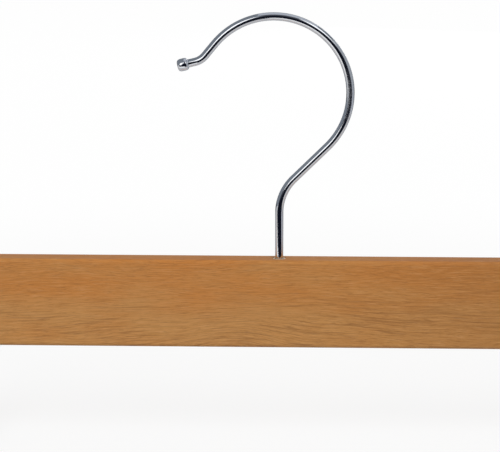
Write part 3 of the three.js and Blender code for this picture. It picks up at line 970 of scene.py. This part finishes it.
def jaw_shape():
    """A front jaw: a pressed sheet with ribs on its tab and two ears that the pin goes through."""
    piece = jaw_sheet()
    wide, high = PANEL_HALF
    choose("verts", lambda vert: abs(vert.co.z - PANEL_MIDDLE) < high and abs(vert.co.x) < wide)
    bpy.ops.transform.translate(value=-BACK * PANEL_RISE, use_proportional_edit=True,
                                proportional_edit_falloff="SMOOTH", proportional_size=PANEL_WALL)
    shape(piece, "SOLIDIFY", thickness=SHEET, offset=0, use_even_offset=True)
    round_edges(piece, JAW_EDGE)
    bpy.ops.object.mode_set(mode="EDIT")
    jaw_ribs()
    clean()
    for foot in (EAR_OUTER, -EAR_INNER - SHEET):
        combine(piece, "UNION", ear(foot))
    past = Vector((JAW_HALF, 0, 0))
    combine(piece, "DIFFERENCE", rod("pin_hole_cutter", PIN_HOLE, -past, past, sides=32))
    return piece


def ear(foot):
    """A plate from the jaw's neck round the pin."""
    outline = arc((0, 0), EAR_RADIUS, -90, 90, steps=24)
    outline = [(-JAW_STANDOFF, -EAR_RADIUS)] + outline + [(-JAW_STANDOFF, EAR_RADIUS)]
    plate = draw("ear_plate", [point + RIGHT * foot for point in across(outline)])
    bpy.ops.mesh.edge_face_add()
    extrude(RIGHT * SHEET)
    clean()
    round_edges(plate, PLATE_EDGE)
    return plate


def grip_shape():
    """A strip with ridges on the face that holds the cloth."""
    pitch = (GRIP_TOP - GRIP_BOTTOM) / GRIP_RIDGES
    root = GRIP_FRONT - GRIP_RIDGE_DEPTH
    outline = [(GRIP_BACK, GRIP_TOP), (GRIP_BACK, GRIP_BOTTOM)]
    for i in range(GRIP_RIDGES):
        foot = GRIP_BOTTOM + i * pitch
        outline.append((root, foot))
        outline += [(GRIP_FRONT, foot + pitch * share) for share in GRIP_RIDGE_FLAT]
    outline += [(root, GRIP_TOP), (GRIP_BACK, GRIP_TOP)]
    route = rounded(outline, GRIP_ROUND, steps=3)
    piece = draw("grip_strip", [point - RIGHT * GRIP_HALF for point in across(route)])
    bpy.ops.mesh.remove_doubles(threshold=WELD)
    bpy.ops.mesh.edge_face_add()
    extrude(RIGHT * GRIP_HALF * 2)
    clean()
    choose("edges", lambda edge: abs(abs(middle(edge).x) - GRIP_HALF) < NEAR)
    bpy.ops.mesh.bevel(offset=GRIP_EDGE, segments=3, affect="EDGES", clamp_overlap=True)
    deselect()
    return piece


def clips():
    """Both clips, with jaw and grip turned round for the back, and each spring made as its bridge and its
    legs.
    """
    bridge, legs = spring_routes()
    shapes = {"link": link_shape(), "pin": pin_shape(),
              "front_spring": spring_shape("spring_bridge", bridge),
              "back_spring": spring_shape("spring_legs", legs),
              "jaw": jaw_shape(), "grip": grip_shape()}
    for piece in shapes.values():
        take(piece)
        bpy.ops.object.transform_apply(location=True, rotation=True, scale=True)
    for side in ("left", "right"):
        pin = centre_of(f"{side}_clip_pin")
        place = Matrix.Translation(pin)
        for name, finish, slot, body in (("link", PLATE, "clip_plate", "link"),
                                         ("pin", STEEL, "steel", "core")):
            piece = copied(shapes[name], f"{side}_{name}", place)
            dressed(piece, finish, slot, f"{side}_clip_{name}", smooth=CLIP_SMOOTH)
            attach(piece, f"{side}_{body}")
        for face, turn, tangent in (("front", 0, LEG_ANGLE), ("back", math.pi, math.pi - LEG_ANGLE)):
            about = place @ Matrix.Rotation(turn, 4, "Z")
            for name, finish, slot in (("jaw", PLATE, "clip_plate"), ("grip", VINYL, "grip")):
                piece = copied(shapes[name], f"{side}_{face}_{name}_piece", about)
                dressed(piece, finish, slot, f"{side}_{face}_{name}", smooth=CLIP_SMOOTH)
                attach(piece, f"{side}_{face}")
            piece = copied(shapes[f"{face}_spring"], f"{side}_{face}_spring", place)
            dressed(piece, STEEL, "steel", f"{side}_clip_spring", smooth=CLIP_SMOOTH)
            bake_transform(piece)
    for piece in shapes.values():
        bpy.data.objects.remove(piece)


# Studio, with the floor's glow near the object and far from it, and where it fades in millimetres

FLOOR_SIZE = 8
FLOOR_GLOW = (0.8, 0.98)
FLOOR_FADE = (250, 600)
WORLD_FILL = 0.55
CAMERA_AIM = Vector((-12.59, 0, -88.67)) * MM
CAMERA_REACH = 1120 * MM
CAMERA_AZIMUTH = 2
CAMERA_RISE = 11.3
CAMERA_LENS = 187.56
SENSOR_WIDTH = 36
SIGHT = 50


def seen_rays(graph):
    """1 for rays that show a surface straight, in metal or through glass."""
    kinds = ("Is Camera Ray", "Is Glossy Ray", "Is Transmission Ray")
    straight, mirror, through = [graph.add("LightPath", {}, {}, out=kind) for kind in kinds]
    return graph.calculate("MINIMUM", straight + mirror + through, 1.0)


def studio_world():
    """Soft light from all round, which is white where it is seen."""
    world = bpy.data.worlds.new("studio")
    world.use_nodes = True
    graph = Graph(world.node_tree)
    backdrop = world.node_tree.nodes["Background"]
    backdrop.inputs["Color"].default_value = (1, 1, 1, 1)
    graph.put(backdrop.inputs["Strength"], WORLD_FILL + (1 - WORLD_FILL) * seen_rays(graph))
    bpy.context.scene.world = world


def pale_floor():
    """A grey floor that is seen as white, with the object's shadow near it, and is clear from below."""
    deselect()
    bpy.ops.mesh.primitive_plane_add(size=FLOOR_SIZE, location=(0, 0, cad_box[0][2] - MM))
    floor = bpy.context.object
    floor.name = "floor"
    finish = Finish("floor_white", {"Roughness": 0.9, "Specular IOR Level": 0.0})
    seen = seen_rays(finish)
    finish.set({"Base Color": finish.mix(seen, paint(205, 205, 205), paint(252, 252, 252))})
    near, far = FLOOR_GLOW
    distance = finish.add("VectorMath", {"operation": "LENGTH"}, {0: finish.place}, out="Value")
    share = seen * (near + (far - near) * finish.step(distance, *FLOOR_FADE))
    plain = Value(finish, finish.shader.outputs[0])
    glow = finish.add("Emission", {}, {"Color": (1, 1, 1, 1), "Strength": 1.0})
    lit = finish.add("MixShader", {}, {0: share, 1: plain, 2: glow})
    below = finish.add("NewGeometry", {}, {}, out="Backfacing")
    clear = finish.add("BsdfTransparent", {}, {})
    finish.show(finish.add("MixShader", {}, {0: below, 1: lit, 2: clear}))
    floor.data.materials.append(finish.material)


def reflector(name, colour, corners):
    """A panel that shows only in reflections, its corners given in turn round it."""
    deselect()
    bpy.ops.mesh.primitive_plane_add(size=1)
    panel = bpy.context.object
    panel.name = name
    for vert, corner in zip((0, 1, 3, 2), corners):
        panel.data.vertices[vert].co = corner
    finish = Finish(name + "_paint", {})
    finish.show(finish.add("Emission", {}, {"Color": colour, "Strength": 1.0}))
    panel.data.materials.append(finish.material)
    panel.visible_camera = False
    panel.visible_diffuse = False
    panel.visible_shadow = False
    panel.visible_transmission = False


def lamp(name, place, size, power):
    """A square soft lamp that its glowing panel stands for in reflections."""
    deselect()
    bpy.ops.object.light_add(type="AREA", location=place)
    light = bpy.context.object
    light.name = name
    light.data.shape = "RECTANGLE"
    light.data.size = size
    light.data.size_y = size
    light.data.energy = power
    light.rotation_euler = (bar_middle - Vector(place)).to_track_quat("-Z", "Y").to_euler()
    light.visible_glossy = False


def camera():
    """Looks a little down on the front, with the bar's ends out of view."""
    azimuth = math.radians(CAMERA_AZIMUTH)
    rise = math.radians(CAMERA_RISE)
    way = Vector((math.sin(azimuth) * math.cos(rise), -math.cos(azimuth) * math.cos(rise), math.sin(rise)))
    bpy.ops.object.camera_add(location=CAMERA_AIM + way * CAMERA_REACH,
                              rotation=(-way).to_track_quat("-Z", "Y").to_euler())
    viewer = bpy.context.object
    viewer.data.sensor_fit = "HORIZONTAL"
    viewer.data.sensor_width = SENSOR_WIDTH
    viewer.data.lens = CAMERA_LENS
    viewer.data.clip_end = SIGHT
    bpy.context.scene.camera = viewer


def upright(y, left, right, low, high):
    """Corners of a panel that faces along the bar's front."""
    return (left, y, low), (right, y, low), (right, y, high), (left, y, high)


def level(z, left, right, front, back):
    """Corners of a flat panel."""
    return (left, front, z), (right, front, z), (right, back, z), (left, back, z)


def endways(x, front, back, low, high):
    """Corners of a panel past one end of the bar."""
    return (x, front, low), (x, back, low), (x, back, high), (x, front, high)


def reflected_room():
    """Dark, grey and glowing panels that the bright metal mirrors."""
    ground = cad_box[0][2]
    near, back, wide, top = -1.7, 1.6, 1.8, 1.3
    eaves, gap_left, gap_right = 0.66, -0.25, 0.5
    roof_left, roof_right, roof_front = -0.35, 1.0, -0.8
    patch_left, patch_right, patch_back = -0.45, 0.35, 0.1
    black = (0.006, 0.007, 0.014, 1)
    dim = (0.05, 0.053, 0.065, 1)
    dusk = (0.10, 0.105, 0.12, 1)
    grey = (0.20, 0.22, 0.25, 1)
    silver = (0.36, 0.38, 0.41, 1)
    pale = (0.48, 0.50, 0.55, 1)
    light = (0.60, 0.60, 0.61, 1)
    bright = (0.98, 0.97, 0.96, 1)
    white = (1.45, 1.45, 1.45, 1)

    def patch(*corners):
        return [(x, y, ground) for x, y in corners]

    right_glow = ((0.45, -1.02, 0.54), (0.94, -0.72, 0.54), (0.94, -0.72, top), (0.45, -1.02, top))
    floor_left = patch((-wide, near), (patch_left, -0.23), (patch_left, -0.12), (-wide, -0.12))
    floor_near = patch((patch_left, -0.23), (-0.09, -0.36), (-0.09, -0.13), (patch_left, -0.12))
    floor_close = patch((-0.09, -0.36), (0, -0.25), (0, -0.13), (-0.09, -0.13))
    floor_under = patch((0, -0.18), (patch_right, -0.14), (patch_right, patch_back), (0, patch_back))
    floor_right = patch((patch_right, -0.14), (wide, near), (wide, patch_back), (patch_right, patch_back))
    for name, tone, corners in (
            ("left_glow", white, upright(-1.2, -0.80, -0.29, 0.05, 1.05)),
            ("right_glow", white, right_glow),
            ("front_right", black, upright(near, gap_left, wide, ground, eaves)),
            ("front_left", dim, upright(near, -wide, gap_left, ground, eaves)),
            ("front_gap", dim, upright(near, gap_left, gap_right, eaves, top)),
            ("front_high_left", grey, upright(near, -wide, gap_left, eaves, top)),
            ("front_high_right", silver, upright(near, gap_right, wide, eaves, top)),
            ("left_wall", grey, endways(-wide, near, back, ground, top)),
            ("right_wall", silver, endways(wide, near, back, ground, top)),
            ("back_wall", grey, upright(back, -wide, wide, ground, top)),
            ("back_dark", black, upright(1.5, -0.5, 0.6, ground, 0.5)),
            ("back_glow", white, upright(1.4, 0.5, 1.1, 0.1, 0.9)),
            ("back_sheen", silver, upright(1.45, -0.7, 0.7, 0.0, 0.4)),
            ("ceiling_left", grey, level(top, -wide, roof_left, near, back)),
            ("ceiling_front", dusk, level(top, roof_left, roof_right, near, roof_front)),
            ("ceiling", pale, level(top, roof_left, roof_right, roof_front, back)),
            ("ceiling_right", grey, level(top, roof_right, wide, near, back)),
            ("floor_front", black, level(ground - MM / 2, -wide, wide, near, patch_back)),
            ("floor_left", light, floor_left),
            ("floor_near", bright, floor_near),
            ("floor_close", bright, floor_close),
            ("floor_below", light, level(ground, -wide, 0, -0.12, patch_back)),
            ("floor_under", light, floor_under),
            ("floor_right", pale, floor_right),
            ("floor_behind", silver, level(ground, -wide, wide, patch_back, 0.4)),
            ("floor_back", black, level(ground, -wide, wide, 0.4, back))):
        reflector(name, tone, corners)


def studio():
    bpy.context.scene.view_settings.view_transform = "Standard"
    studio_world()
    pale_floor()
    reflected_room()
    lamp("left_box", place=(-0.58, -1.2, 0.68), size=0.5, power=5)
    lamp("right_box", place=(0.73, -0.87, 0.95), size=0.5, power=6)
    lamp("back_fill", place=(0.3, 1.4, 0.05), size=0.6, power=4)
    camera()


bar()
hook()
bush()
washer()
nut()
rail()
clips()
studio()
